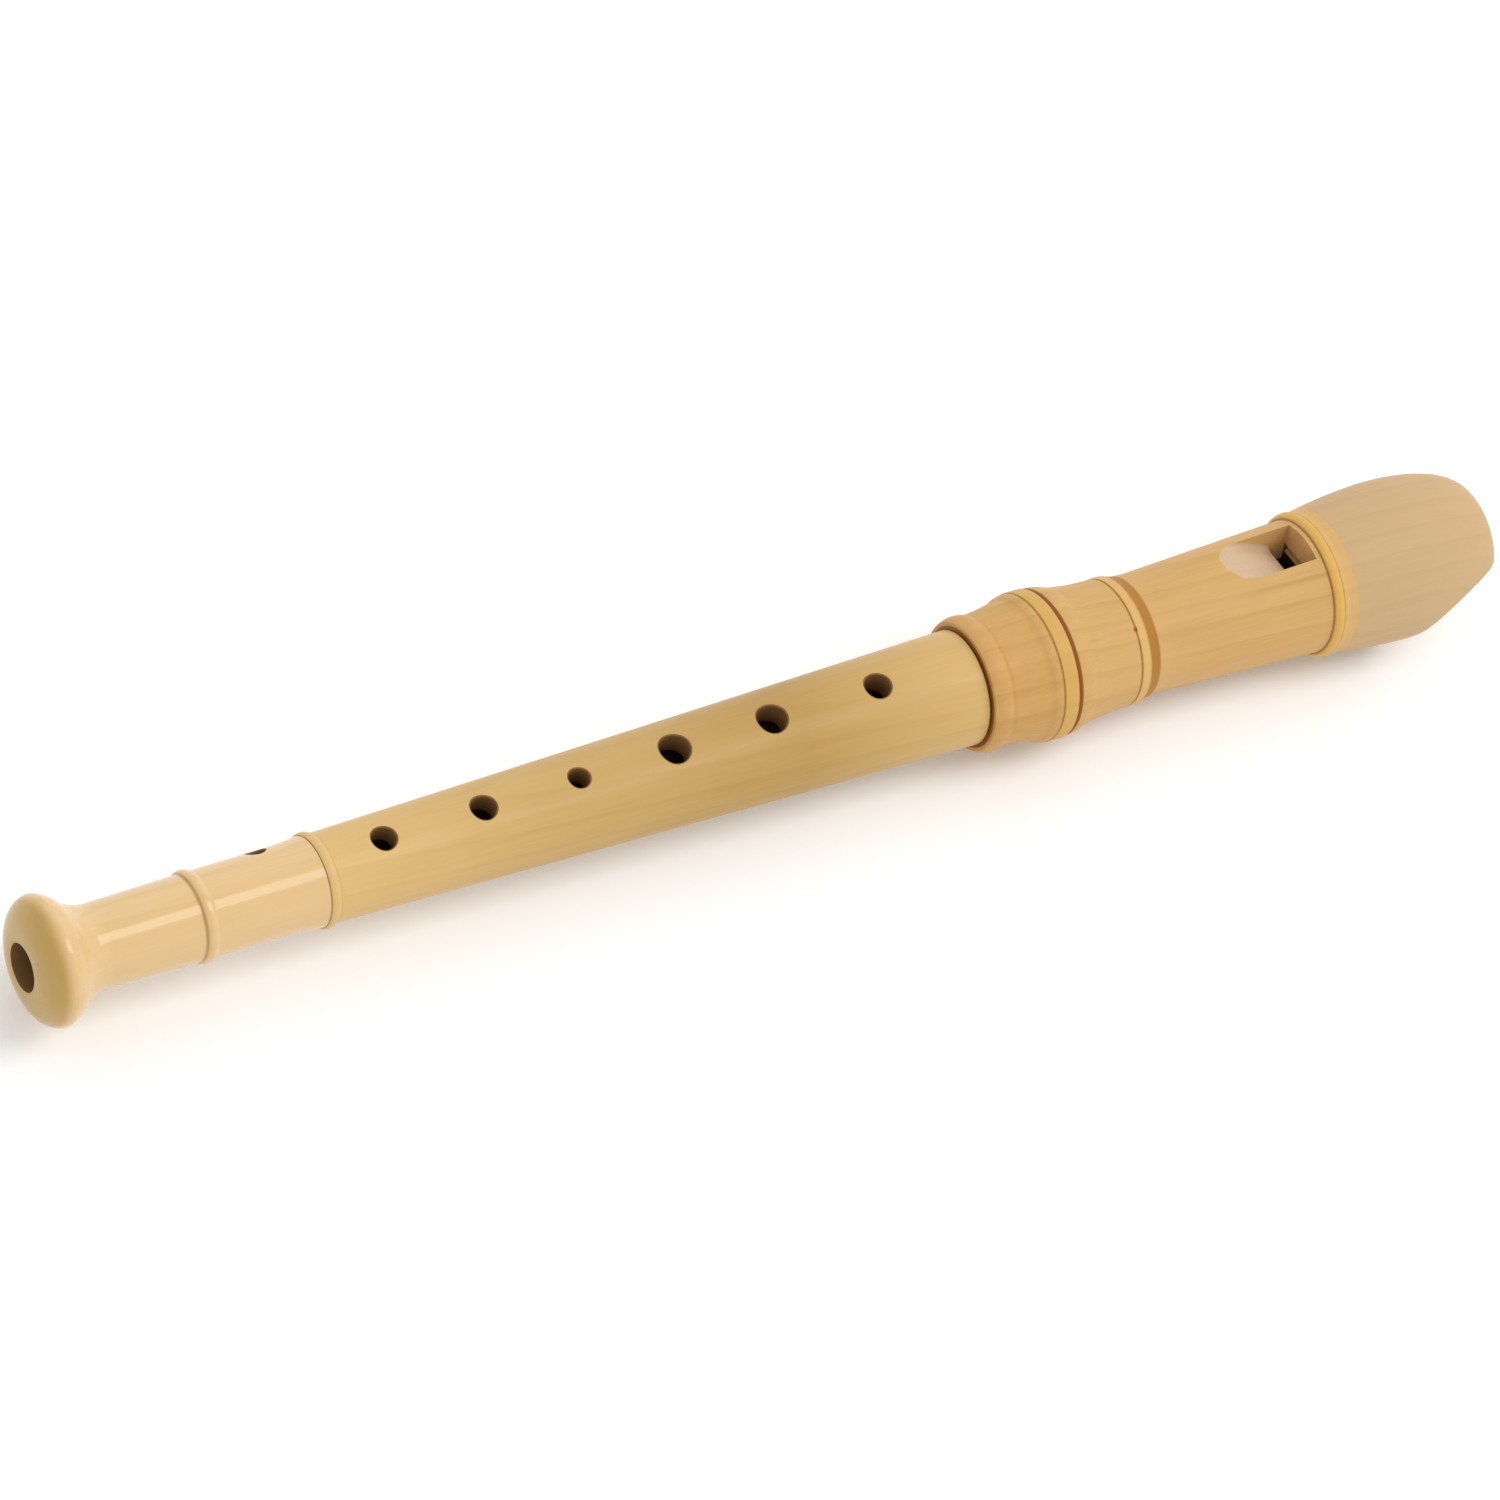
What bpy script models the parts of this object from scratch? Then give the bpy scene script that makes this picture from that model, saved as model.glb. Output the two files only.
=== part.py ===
"""Soprano recorder in three turned wooden joints.

The head joint carries the window, the windway and the beak, and holds a loose block.
The middle joint has six finger holes, a thumb hole and a corked tenon at each end.
The foot joint has the little finger's hole and the bell.

Every length along the instrument is a station: the distance from the foot's open end.
The bore lies along X, the foot's end at -X, the finger holes towards +Z.
"""

import math

import bmesh
import bpy
from mathutils import Matrix, Vector

# Overall, in metres
TOTAL_LENGTH = 0.325
BEAK_RADIUS = 0.0163
SEGMENTS = 32
HOLE_SEGMENTS = 20
CLEARANCE = 0.0003
OVERSHOOT = 0.0020
SHARP_ANGLE = math.radians(30)

# How full a rounded end is: 2 is an ellipse
BELL_FULLNESS = 2.0
BEAK_FULLNESS = 2.1

# Stations where the joints meet
SEAM_FOOT = 0.0607
SEAM_HEAD = 0.2057

# Bore radii
FOOT_BORE = 0.00485
MIDDLE_BORE_LOW = 0.00465
MIDDLE_BORE_HIGH = 0.0062
HEAD_BORE = 0.0064

# Sockets, tenons and their cork
FOOT_SOCKET_RADIUS = 0.0071
FOOT_SOCKET_DEPTH = 0.0079
HEAD_SOCKET_RADIUS = 0.00965
HEAD_SOCKET_DEPTH = 0.0204
TENON_PLAY = 0.0005
CORK_PLAY = 0.00025
CORK_THICKNESS = 0.00065
CORK_SEAT = 0.0002
CORK_COLLAR = 0.0010

# Turned outside of the foot
BELL_RADIUS = 0.0131
BELL_STATION = 0.0052
BELL_FACE_RADIUS = 0.0057
BELL_BACK_STATION = 0.0088
BELL_BACK_RADIUS = 0.0109
BELL_BACK_RISE = 0.0003
BELL_COVE_DIP = 0.00075
FOOT_TUBE_STATION = 0.0160
FOOT_TUBE_RADIUS = 0.0083
FOOT_BEAD_STATION = 0.0345
FOOT_BEAD_FOOT = 0.0086
FOOT_BEAD_WIDTH = 0.0028
FOOT_BEAD_RISE = 0.00065
FOOT_FLARE_LENGTH = 0.0090
FOOT_FLARE_DIP = 0.00015
FOOT_RIM_RADIUS = 0.0091

# Turned outside of the middle joint
MIDDLE_BEAD_FOOT = 0.0093
MIDDLE_BEAD_WIDTH = 0.0023
MIDDLE_BEAD_RISE = 0.00045
MIDDLE_CHAMFER = 0.0003
MIDDLE_LOW_RADIUS = 0.00888
MIDDLE_HIGH_RADIUS = 0.0117

# Turned outside of the head
RIM_FACE_RADIUS = 0.0131
RIM_CHAMFER = 0.0005
RIM_LENGTH = 0.0046
RIM_RISE = 0.0006
COVE_RADIUS = 0.0133
SHOULDER_STATION = 0.2172
SHOULDER_RADIUS = 0.0142
SHOULDER_BEND = (0.2186, 0.01475)
SHOULDER_DIP = 0.00006
SHOULDER_RISE = 0.0001
RING_GROOVE = 0.0002
WIDE_RING_STATION = 0.2204
WIDE_RING_WIDTH = 0.0032
WIDE_RING_FOOT = 0.0151
WIDE_RING_RADIUS = 0.01525
WIDE_RING_CREASE = 0.0007
WAIST_STATION = 0.2284
WAIST_RADIUS = 0.0142
WAIST_RISE = 0.00025
WAIST_DIP = 0.0003
NARROW_RING_STATION = 0.2396
NARROW_RING_WIDTH = 0.0023
NARROW_RING_FOOT = 0.0131
NARROW_RING_RADIUS = 0.01315
NECK_STATION = 0.2456
NECK_RADIUS = 0.0123
NECK_DIP = 0.0001
WINDOW_BEAD_STATION = 0.2842
WINDOW_BEAD_FOOT = 0.0137
WINDOW_BEAD_END = (0.2862, 0.0149)
WINDOW_BEAD_RISE = 0.0004
BEAK_NECK = (0.2876, 0.01465)
BEAK_RISE = 0.0003
BEAK_STATION = 0.3045
BEAK_TIP_RADIUS = 0.0095

# Window, labium and windway: heights are measured from the bore's axis towards the window
HEAD_ROLL = math.radians(14)
WINDWAY_WIDTH = 0.0105
LABIUM_STATION = 0.2797
WINDOW_END_STATION = 0.2832
LABIUM_HEIGHT = 0.00675
LABIUM_THICKNESS = 0.00025
RAMP_LENGTH = 0.0159
RAMP_TOP = 0.0130
RAMP_RISE = 0.00065
UNDERCUT_SLOPE = math.radians(12)
ROOF_HEIGHT_WINDOW = 0.0077
ROOF_HEIGHT_TIP = 0.0069
WINDWAY_DEPTH_WINDOW = 0.0010
WINDWAY_DEPTH_TIP = 0.0011
WINDOW_FLOOR = 0.0020
BLOCK_CHAMFER = 0.0010
TABLE_STEPS = 6

# The beak's hollowed underside is a cylinder across the instrument
BEAK_CUT_STATION = 0.3244
BEAK_CUT_HEIGHT = -0.0150
BEAK_CUT_RADIUS = 0.0181

# Tone holes on the middle joint: station, diameter
FINGER_HOLES = (
    (0.1832, 0.0054),
    (0.1595, 0.0062),
    (0.1379, 0.0063),
    (0.1169, 0.0043),
    (0.0961, 0.0052),
    (0.0746, 0.0050),
)
THUMB_HOLE = (0.1905, 0.0050)
FOOT_HOLE = (0.0512, 0.0038)
FOOT_ROLL = math.radians(53)


def arc(start, end, sagitta, steps):
    """Points after start, up to end, along an arc that rises sagitta to the left of the chord."""
    chord = Vector(end) - Vector(start)
    half = chord.length / 2
    radius = (half * half + sagitta * sagitta) / (2 * abs(sagitta))
    side = Vector((-chord.y, chord.x)).normalized() * math.copysign(1, sagitta)
    centre = Vector(start) + chord / 2 + side * (abs(sagitta) - radius)
    first = Vector(start) - centre
    sweep = -math.copysign(2 * math.asin(min(1, half / radius)), sagitta)
    points = []
    for step in range(1, steps + 1):
        turn = Matrix.Rotation(sweep * step / steps, 2)
        points.append(tuple(centre + turn @ first))
    return points


def rounded_end(start, end, fullness, steps):
    """Points after start, up to end, that leave start along the bore and reach end across it."""
    power = 2 / fullness
    points = []
    for step in range(1, steps + 1):
        angle = math.pi / 2 * step / steps
        along = math.sin(angle) ** power
        down = 1 - math.cos(angle) ** power
        points.append(
            (start[0] + (end[0] - start[0]) * along, start[1] + (end[1] - start[1]) * down)
        )
    return points


def principled(name, colour, roughness):
    material = bpy.data.materials.new(name)
    material.use_nodes = True
    shader = material.node_tree.nodes["Principled BSDF"]
    shader.inputs["Base Color"].default_value = (*colour, 1)
    shader.inputs["Roughness"].default_value = roughness
    shader.inputs["Metallic"].default_value = 0
    return material


def add_object(name, shape, origin_station=0.0, parent=None):
    """An object whose mesh is given in stations, with its origin on the bore's axis."""
    bmesh.ops.translate(shape, vec=(-origin_station, 0, 0), verts=shape.verts)
    mesh = bpy.data.meshes.new(name)
    shape.to_mesh(mesh)
    shape.free()
    obj = bpy.data.objects.new(name, mesh)
    bpy.context.scene.collection.objects.link(obj)
    obj.location = (origin_station - TOTAL_LENGTH / 2, 0, BEAK_RADIUS)
    if parent:
        obj.parent = parent
        obj.location = obj.location - parent.location
        for ancestor in iter_ancestors(parent):
            obj.location = obj.location - ancestor.location
    return obj


def iter_ancestors(obj):
    while obj.parent:
        obj = obj.parent
        yield obj


def turned(outline):
    """A ring-shaped solid made by turning a closed outline of (station, radius) about the bore.

    A radius is measured to the middle of a facet, and one facet faces straight down, so the
    instrument lies steadily.
    """
    shape = bmesh.new()
    half_step = math.pi / SEGMENTS
    points = []
    for station, radius in outline:
        points.append(shape.verts.new((station, radius * math.tan(half_step), radius)))
    edges = [shape.edges.new((a, b)) for a, b in zip(points, points[1:] + points[:1])]
    bmesh.ops.spin(
        shape,
        geom=points + edges,
        cent=(0, 0, 0),
        axis=(1, 0, 0),
        angle=2 * math.pi,
        steps=SEGMENTS,
        use_merge=True,
    )
    bmesh.ops.recalc_face_normals(shape, faces=shape.faces)
    return shape


def prism(outline, width, roll):
    """A bar across the instrument, from an outline of (station, height), rolled about the bore."""
    shape = bmesh.new()
    near = [shape.verts.new((station, -width / 2, height)) for station, height in outline]
    base = shape.faces.new(near)
    grown = bmesh.ops.extrude_face_region(shape, geom=[base])
    moved = [item for item in grown["geom"] if isinstance(item, bmesh.types.BMVert)]
    bmesh.ops.translate(shape, vec=(0, width, 0), verts=moved)
    bmesh.ops.recalc_face_normals(shape, faces=shape.faces)
    bmesh.ops.rotate(
        shape, cent=(0, 0, 0), matrix=Matrix.Rotation(-roll, 3, "X"), verts=shape.verts
    )
    return shape


def drill(station, diameter, roll):
    """A radial drill that starts inside the bore and ends outside the widest joint."""
    shape = bmesh.new()
    bmesh.ops.create_cone(
        shape,
        cap_ends=True,
        segments=HOLE_SEGMENTS,
        radius1=diameter / 2,
        radius2=diameter / 2,
        depth=BEAK_RADIUS,
        matrix=Matrix.Translation((station, 0, BEAK_RADIUS / 2)),
    )
    bmesh.ops.rotate(
        shape, cent=(0, 0, 0), matrix=Matrix.Rotation(-roll, 3, "X"), verts=shape.verts
    )
    return shape


def cut(obj, name, shape):
    """Subtracts a shape, given in stations, with a Boolean that stays on the object."""
    cutter = add_object(name, shape)
    cutter.hide_render = True
    cutter.display_type = "WIRE"
    modifier = obj.modifiers.new(name, "BOOLEAN")
    modifier.operation = "DIFFERENCE"
    modifier.object = cutter


def finish(obj, material):
    obj.data.materials.append(material)
    obj.data.shade_smooth()
    obj.data.set_sharp_from_angle(angle=SHARP_ANGLE)


def tenon_outline(shoulder, end, radius, top):
    """The tenon's outside from its shoulder to its end face, with a groove that seats the cork."""
    way = math.copysign(1, end - shoulder)
    groove = radius - CORK_THICKNESS
    return [
        (shoulder, top),
        (shoulder, radius),
        (shoulder + way * CORK_COLLAR, radius),
        (shoulder + way * CORK_COLLAR, groove),
        (end - way * CORK_COLLAR, groove),
        (end - way * CORK_COLLAR, radius),
        (end, radius),
    ]


def cork_sleeve(shoulder, end, tenon_radius, socket_radius):
    """A turned sleeve of cork that lies in a tenon's groove and stands a little proud of it."""
    inner = tenon_radius - CORK_THICKNESS + CORK_SEAT
    outer = socket_radius - CORK_PLAY
    way = math.copysign(1, end - shoulder)
    low = shoulder + way * (CORK_COLLAR + CORK_SEAT)
    high = end - way * (CORK_COLLAR + CORK_SEAT)
    return turned([(low, inner), (high, inner), (high, outer), (low, outer)])


def beak_cut():
    """The round cutter that hollows the beak's underside."""
    steps = 2 * SEGMENTS
    outline = []
    for step in range(steps):
        angle = 2 * math.pi * step / steps
        outline.append(
            (
                BEAK_CUT_STATION + BEAK_CUT_RADIUS * math.cos(angle),
                BEAK_CUT_HEIGHT + BEAK_CUT_RADIUS * math.sin(angle),
            )
        )
    return prism(outline, 3 * BEAK_RADIUS, HEAD_ROLL)


def roof_line(station):
    """The windway roof's height at a station."""
    share = (station - WINDOW_END_STATION) / (TOTAL_LENGTH - WINDOW_END_STATION)
    return ROOF_HEIGHT_WINDOW + (ROOF_HEIGHT_TIP - ROOF_HEIGHT_WINDOW) * share


def foot_outline():
    bell_face = (0, BELL_FACE_RADIUS)
    bell = (BELL_STATION, BELL_RADIUS)
    bell_back = (BELL_BACK_STATION, BELL_BACK_RADIUS)
    tube = (FOOT_TUBE_STATION, FOOT_TUBE_RADIUS)
    bead_start = (FOOT_BEAD_STATION, FOOT_BEAD_FOOT)
    bead_end = (FOOT_BEAD_STATION + FOOT_BEAD_WIDTH, FOOT_BEAD_FOOT)
    flare = (SEAM_FOOT - FOOT_FLARE_LENGTH, FOOT_BEAD_FOOT)
    socket_floor = SEAM_FOOT - FOOT_SOCKET_DEPTH
    outline = [(0, FOOT_BORE)]
    outline += reversed(rounded_end(bell, bell_face, BELL_FULLNESS, 6))
    outline += [bell]
    outline += arc(bell, bell_back, BELL_BACK_RISE, 3)
    outline += arc(bell_back, tube, -BELL_COVE_DIP, 4)
    outline += [bead_start]
    outline += arc(bead_start, bead_end, FOOT_BEAD_RISE, 5)
    outline += [flare]
    outline += arc(flare, (SEAM_FOOT, FOOT_RIM_RADIUS), -FOOT_FLARE_DIP, 3)
    outline += [
        (SEAM_FOOT, FOOT_SOCKET_RADIUS),
        (socket_floor, FOOT_SOCKET_RADIUS),
        (socket_floor, FOOT_BORE),
    ]
    return outline


def make_foot(parent):
    foot = add_object("foot_joint", turned(foot_outline()), SEAM_FOOT, parent)
    cut(foot, "cut_foot_hole", drill(*FOOT_HOLE, FOOT_ROLL))
    return foot


def make_middle():
    low_tenon = FOOT_SOCKET_RADIUS - TENON_PLAY
    high_tenon = HEAD_SOCKET_RADIUS - TENON_PLAY
    low_shoulder = SEAM_FOOT + CLEARANCE
    high_shoulder = SEAM_HEAD - CLEARANCE
    low_end = SEAM_FOOT - FOOT_SOCKET_DEPTH + CLEARANCE
    high_end = SEAM_HEAD + HEAD_SOCKET_DEPTH - CLEARANCE
    bead_end = low_shoulder + MIDDLE_BEAD_WIDTH
    outline = [(low_end, MIDDLE_BORE_LOW)]
    outline += reversed(tenon_outline(low_shoulder, low_end, low_tenon, MIDDLE_BEAD_FOOT))
    outline += arc(outline[-1], (bead_end, MIDDLE_LOW_RADIUS), MIDDLE_BEAD_RISE, 5)
    outline += [(high_shoulder - MIDDLE_CHAMFER, MIDDLE_HIGH_RADIUS)]
    outline += tenon_outline(
        high_shoulder, high_end, high_tenon, MIDDLE_HIGH_RADIUS - MIDDLE_CHAMFER
    )
    outline += [(high_end, MIDDLE_BORE_HIGH)]
    middle = add_object("middle_joint", turned(outline), high_shoulder)
    for number, (station, diameter) in enumerate(FINGER_HOLES, 1):
        cut(middle, f"cut_finger_hole_{number}", drill(station, diameter, 0))
    cut(middle, "cut_thumb_hole", drill(*THUMB_HOLE, math.pi))
    high_cork = add_object(
        "upper_tenon_cork",
        cork_sleeve(high_shoulder, high_end, high_tenon, HEAD_SOCKET_RADIUS),
        high_shoulder,
        middle,
    )
    low_cork = add_object(
        "lower_tenon_cork",
        cork_sleeve(low_shoulder, low_end, low_tenon, FOOT_SOCKET_RADIUS),
        low_shoulder,
        middle,
    )
    return middle, high_cork, low_cork


def head_outline():
    ring_end = WIDE_RING_STATION + WIDE_RING_WIDTH
    crease_end = (ring_end + WIDE_RING_CREASE, WIDE_RING_RADIUS - RING_GROOVE)
    narrow_end = NARROW_RING_STATION + NARROW_RING_WIDTH
    socket_end = SEAM_HEAD + HEAD_SOCKET_DEPTH
    rim_face = (SEAM_HEAD, RIM_FACE_RADIUS)
    cove = (SEAM_HEAD + RIM_LENGTH, COVE_RADIUS)
    shoulder = (SHOULDER_STATION, SHOULDER_RADIUS)
    waist = (WAIST_STATION, WAIST_RADIUS)
    window_bead = (WINDOW_BEAD_STATION, WINDOW_BEAD_FOOT)
    beak = (BEAK_STATION, BEAK_RADIUS)
    outline = [
        (SEAM_HEAD + RIM_CHAMFER, HEAD_SOCKET_RADIUS),
        (SEAM_HEAD, HEAD_SOCKET_RADIUS + RIM_CHAMFER),
        rim_face,
    ]
    outline += arc(rim_face, cove, RIM_RISE, 5)
    outline += [shoulder]
    outline += arc(shoulder, SHOULDER_BEND, -SHOULDER_DIP, 2)
    outline += arc(SHOULDER_BEND, (WIDE_RING_STATION, WIDE_RING_FOOT), SHOULDER_RISE, 3)
    outline += [
        (WIDE_RING_STATION + RING_GROOVE, WIDE_RING_RADIUS),
        (ring_end, WIDE_RING_RADIUS),
        (ring_end + RING_GROOVE, WIDE_RING_RADIUS - 2 * RING_GROOVE),
        crease_end,
    ]
    outline += arc(crease_end, waist, WAIST_RISE, 3)
    outline += arc(waist, (NARROW_RING_STATION - RING_GROOVE, NARROW_RING_FOOT), -WAIST_DIP, 4)
    outline += [
        (NARROW_RING_STATION, NARROW_RING_FOOT - RING_GROOVE),
        (NARROW_RING_STATION + RING_GROOVE, NARROW_RING_RADIUS),
        (narrow_end, NARROW_RING_RADIUS),
    ]
    outline += arc((narrow_end, NARROW_RING_RADIUS), (NECK_STATION, NECK_RADIUS), -NECK_DIP, 3)
    outline += [window_bead]
    outline += arc(window_bead, WINDOW_BEAD_END, WINDOW_BEAD_RISE, 5)
    outline += [BEAK_NECK]
    outline += arc(BEAK_NECK, beak, BEAK_RISE, 6)
    outline += rounded_end(beak, (TOTAL_LENGTH, BEAK_TIP_RADIUS), BEAK_FULLNESS, 9)
    outline += [
        (TOTAL_LENGTH, HEAD_BORE),
        (socket_end, HEAD_BORE),
        (socket_end, HEAD_SOCKET_RADIUS),
    ]
    return outline


def make_head(parent):
    head = add_object("head_joint", turned(head_outline()), SEAM_HEAD, parent)
    outside = BEAK_RADIUS + OVERSHOOT
    labium = (LABIUM_STATION, LABIUM_HEIGHT)
    ramp_top = (LABIUM_STATION - RAMP_LENGTH, RAMP_TOP)
    window = [
        (LABIUM_STATION, WINDOW_FLOOR),
        (WINDOW_END_STATION, WINDOW_FLOOR),
        (WINDOW_END_STATION, outside),
        (LABIUM_STATION - 2 * RAMP_LENGTH, outside),
        ramp_top,
    ]
    window += arc(ramp_top, labium, RAMP_RISE, 6)
    cut(head, "cut_window", prism(window, WINDWAY_WIDTH, HEAD_ROLL))
    lip = LABIUM_HEIGHT - LABIUM_THICKNESS
    undercut_run = lip / math.tan(UNDERCUT_SLOPE)
    undercut = [
        (LABIUM_STATION + CLEARANCE, 0),
        (LABIUM_STATION + CLEARANCE, lip),
        (LABIUM_STATION, lip),
        (LABIUM_STATION - undercut_run, 0),
    ]
    cut(head, "cut_labium_underside", prism(undercut, WINDWAY_WIDTH, HEAD_ROLL))
    past_tip = TOTAL_LENGTH + OVERSHOOT
    windway = [
        (WINDOW_END_STATION - CLEARANCE, 0),
        (past_tip, 0),
        (past_tip, roof_line(past_tip)),
        (WINDOW_END_STATION - CLEARANCE, roof_line(WINDOW_END_STATION - CLEARANCE)),
    ]
    cut(head, "cut_windway", prism(windway, WINDWAY_WIDTH, HEAD_ROLL))
    cut(head, "cut_beak_of_head", beak_cut())
    return head


def make_block(parent):
    """The plug: a cylinder with a raised table, whose flat top is the windway's floor."""
    shape = bmesh.new()
    radius = HEAD_BORE - CLEARANCE
    half_table = WINDWAY_WIDTH / 2 - CLEARANCE
    floor_window = roof_line(WINDOW_END_STATION) - WINDWAY_DEPTH_WINDOW
    floor_tip = roof_line(TOTAL_LENGTH) - WINDWAY_DEPTH_TIP
    corner = math.asin(half_table / radius)
    section = [(-half_table, None), (half_table, None)]
    steps = SEGMENTS - TABLE_STEPS
    for step in range(steps + 1):
        angle = corner + (2 * math.pi - 2 * corner) * step / steps
        section.append((radius * math.sin(angle), radius * math.cos(angle)))
    stations = (
        (WINDOW_END_STATION, floor_window - BLOCK_CHAMFER),
        (WINDOW_END_STATION + BLOCK_CHAMFER, floor_window),
        (TOTAL_LENGTH, floor_tip),
    )
    rings = []
    for station, table in stations:
        ring = []
        for across, height in section:
            up = table if height is None else height
            ring.append(shape.verts.new((station, across, up)))
        rings.append(ring)
    for ring, following in zip(rings, rings[1:]):
        for index in range(len(ring)):
            after = (index + 1) % len(ring)
            shape.faces.new((ring[index], ring[after], following[after], following[index]))
    shape.faces.new(rings[0])
    shape.faces.new(rings[-1])
    bmesh.ops.recalc_face_normals(shape, faces=shape.faces)
    bmesh.ops.rotate(
        shape, cent=(0, 0, 0), matrix=Matrix.Rotation(-HEAD_ROLL, 3, "X"), verts=shape.verts
    )
    block = add_object("block", shape, WINDOW_END_STATION, parent)
    cut(block, "cut_beak_of_block", beak_cut())
    return block


def main():
    for old in list(bpy.data.objects):
        bpy.data.objects.remove(old, do_unlink=True)
    head_wood = principled("varnished_maple_head", (0.72, 0.45, 0.20), 0.38)
    middle_wood = principled("varnished_maple_middle", (0.68, 0.48, 0.22), 0.42)
    foot_wood = principled("varnished_maple_foot", (0.78, 0.55, 0.28), 0.30)
    cedar = principled("cedar", (0.55, 0.33, 0.17), 0.60)
    cork = principled("cork", (0.50, 0.32, 0.17), 0.85)
    middle, high_cork, low_cork = make_middle()
    head = make_head(middle)
    foot = make_foot(middle)
    block = make_block(head)
    finish(middle, middle_wood)
    finish(high_cork, cork)
    finish(low_cork, cork)
    finish(head, head_wood)
    finish(foot, foot_wood)
    finish(block, cedar)


main()
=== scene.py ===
"""The looks of a wooden soprano recorder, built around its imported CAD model.

Each CAD node is replaced by a finely turned and cut piece of the same size, in procedural
wood or cork. Joints meet, and lengths start, where the CAD boxes say. A station is a distance
from the foot's open end, and a height is measured from the bore's axis.
"""
import math
from collections import namedtuple

import bmesh
import bpy
from mathutils import Matrix, Vector


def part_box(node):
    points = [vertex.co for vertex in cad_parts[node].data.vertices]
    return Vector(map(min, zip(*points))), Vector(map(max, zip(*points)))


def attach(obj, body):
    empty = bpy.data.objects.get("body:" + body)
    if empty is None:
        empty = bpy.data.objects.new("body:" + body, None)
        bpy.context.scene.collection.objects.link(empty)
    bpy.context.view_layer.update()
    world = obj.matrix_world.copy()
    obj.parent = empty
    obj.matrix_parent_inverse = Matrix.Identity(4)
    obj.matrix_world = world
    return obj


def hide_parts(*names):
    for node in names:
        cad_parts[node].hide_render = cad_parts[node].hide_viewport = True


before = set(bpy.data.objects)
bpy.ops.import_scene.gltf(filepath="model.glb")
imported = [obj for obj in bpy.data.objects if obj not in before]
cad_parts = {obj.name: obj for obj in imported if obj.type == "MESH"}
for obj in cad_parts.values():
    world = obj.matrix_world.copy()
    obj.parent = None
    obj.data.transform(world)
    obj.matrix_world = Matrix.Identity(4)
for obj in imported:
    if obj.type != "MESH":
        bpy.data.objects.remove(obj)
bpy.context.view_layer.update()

MM = 0.001

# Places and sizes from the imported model
FOOT_LOW, FOOT_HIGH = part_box("foot_joint")
MIDDLE_LOW, MIDDLE_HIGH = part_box("middle_joint")
HEAD_LOW, HEAD_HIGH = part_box("head_joint")
BLOCK_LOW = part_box("block")[0]
FOOT_END = FOOT_LOW.x
AXIS_HEIGHT = (HEAD_LOW.z + HEAD_HIGH.z) / 2
SEAM_FOOT = FOOT_HIGH.x - FOOT_END
SEAM_HEAD = HEAD_LOW.x - FOOT_END
TIP = HEAD_HIGH.x - FOOT_END
WINDOW_END = BLOCK_LOW.x - FOOT_END
BELL_RADIUS = (FOOT_HIGH.z - FOOT_LOW.z) / 2
MIDDLE_RADIUS = (MIDDLE_HIGH.z - MIDDLE_LOW.z) / 2
BEAK_RADIUS = (HEAD_HIGH.z - HEAD_LOW.z) / 2

# How finely things are made
AROUND = 224
HOLE_AROUND = 72
SPACING = 1.5 * MM
EASE = 0.12 * MM
EASE_STEPS = 3
CORNER_ANGLE = math.radians(22)
SHARP_ANGLE = math.radians(34)
OVERSHOOT = 2 * MM

# Bores, sockets, tenons and corks
FOOT_BORE = 4.85 * MM
MIDDLE_BORE_LOW = 4.65 * MM
MIDDLE_BORE_HIGH = 6.2 * MM
HEAD_BORE = 6.4 * MM
FOOT_SOCKET = (7.1 * MM, 7.9 * MM)
HEAD_SOCKET = (9.65 * MM, 20.4 * MM)
SHOULDER_GAP_FOOT = 0.1 * MM
SHOULDER_GAP_HEAD = 0.3 * MM
TENON_PLAY = 0.5 * MM
CORK_THICKNESS = 0.65 * MM
CORK_COLLAR = 1.0 * MM
MIDDLE_BEAD = 2.3 * MM
MIDDLE_LOW_RADIUS = 8.88 * MM
FOOT_TUBE_RADIUS = 8.6 * MM

# Window, labium and windway
HEAD_ROLL = math.radians(14)
WINDWAY_WIDTH = 10.5 * MM
LABIUM = 279.7 * MM
LABIUM_HEIGHT = 6.75 * MM
LABIUM_THICKNESS = 0.25 * MM
WINDOW_FLOOR = 2 * MM
RAMP_LENGTH = 15.9 * MM
RAMP_TOP = 13.0 * MM
RAMP_RISE = 0.65 * MM
RAMP_ROUNDING = 1.1 * MM
UNDERCUT_SLOPE = math.radians(12)
ROOF_HEIGHTS = (7.7 * MM, 6.9 * MM)
WINDWAY_DEPTHS = (1.0 * MM, 1.1 * MM)
BLOCK_PLAY = 0.3 * MM
BLOCK_CHAMFER = 1.0 * MM
BEAK_CUT_STATION = 324.4 * MM
BEAK_CUT_HEIGHT = -15.0 * MM
BEAK_CUT_RADIUS = 18.1 * MM

# Tone holes: station, diameter
FINGER_HOLES = (
    (183.2 * MM, 5.4 * MM),
    (159.5 * MM, 6.2 * MM),
    (137.9 * MM, 6.3 * MM),
    (116.9 * MM, 4.3 * MM),
    (96.1 * MM, 5.2 * MM),
    (74.6 * MM, 5.0 * MM),
)
THUMB_HOLE = (190.5 * MM, 5.0 * MM)
FOOT_HOLE = (51.2 * MM, 3.8 * MM)
FOOT_ROLL = math.radians(53)
HOLE_EASE = 0.35 * MM
HOLE_EASE_END = math.radians(74)
HOLE_EASE_STEPS = 6
HOLE_RUN = 0.6 * MM

# The view: how far it leans from square to the bore, and how far round from the finger holes
VIEW_LEAN = math.radians(26)
VIEW_ROUND = math.radians(26)
VIEW_SLOPE = math.radians(16.667)
FOOT_ASIDE = 141.7 * MM
FOOT_AHEAD = 1.772
LENS_MM = 228
SENSOR_MM = 36
VIEW_END = 20

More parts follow.
